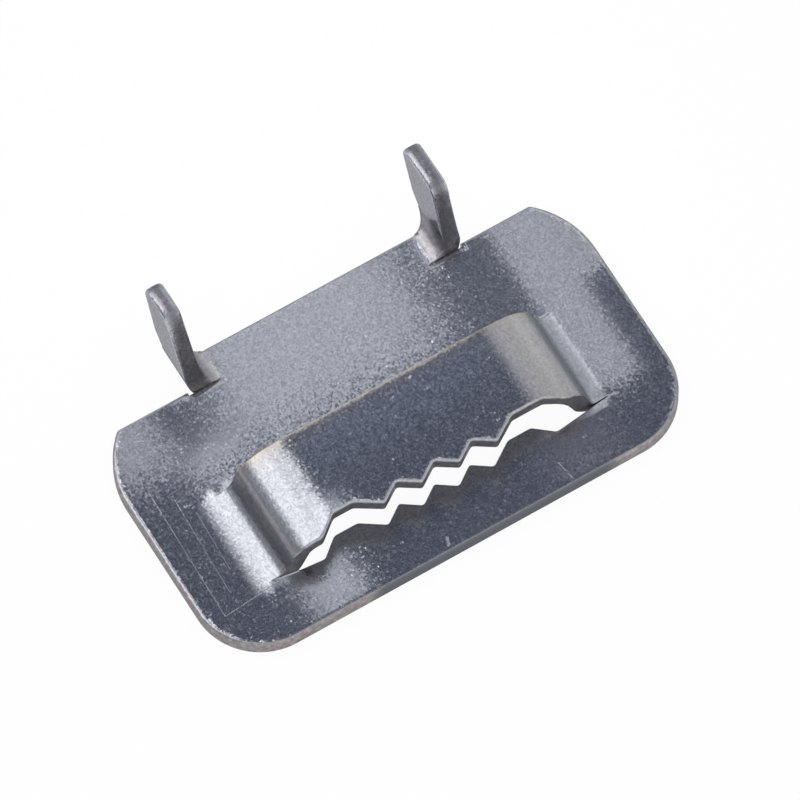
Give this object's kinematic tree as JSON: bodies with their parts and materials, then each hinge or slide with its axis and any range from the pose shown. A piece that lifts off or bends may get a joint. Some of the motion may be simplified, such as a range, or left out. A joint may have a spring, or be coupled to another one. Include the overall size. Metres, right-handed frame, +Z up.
{
  "type": "strapping buckle",
  "caption": "Stamped and folded steel buckle for strapping band: rounded plate, raised bridge with a toothed front edge, and upright ears at the rear that are folded down over the band.",
  "frame": {"origin": "centre of the whole footprint, on the flat underside", "axes": "+X along the plate from side to side, +Y from the front strip to the ears, +Z up through the plate to the bridge"},
  "size_m": [0.038, 0.0256, 0.0081],
  "materials": {
    "steel": "satin, speckled by tumbling"
  },
  "bodies": {
    "root": {"buckle": "steel"}
  },
  "joints": []
}
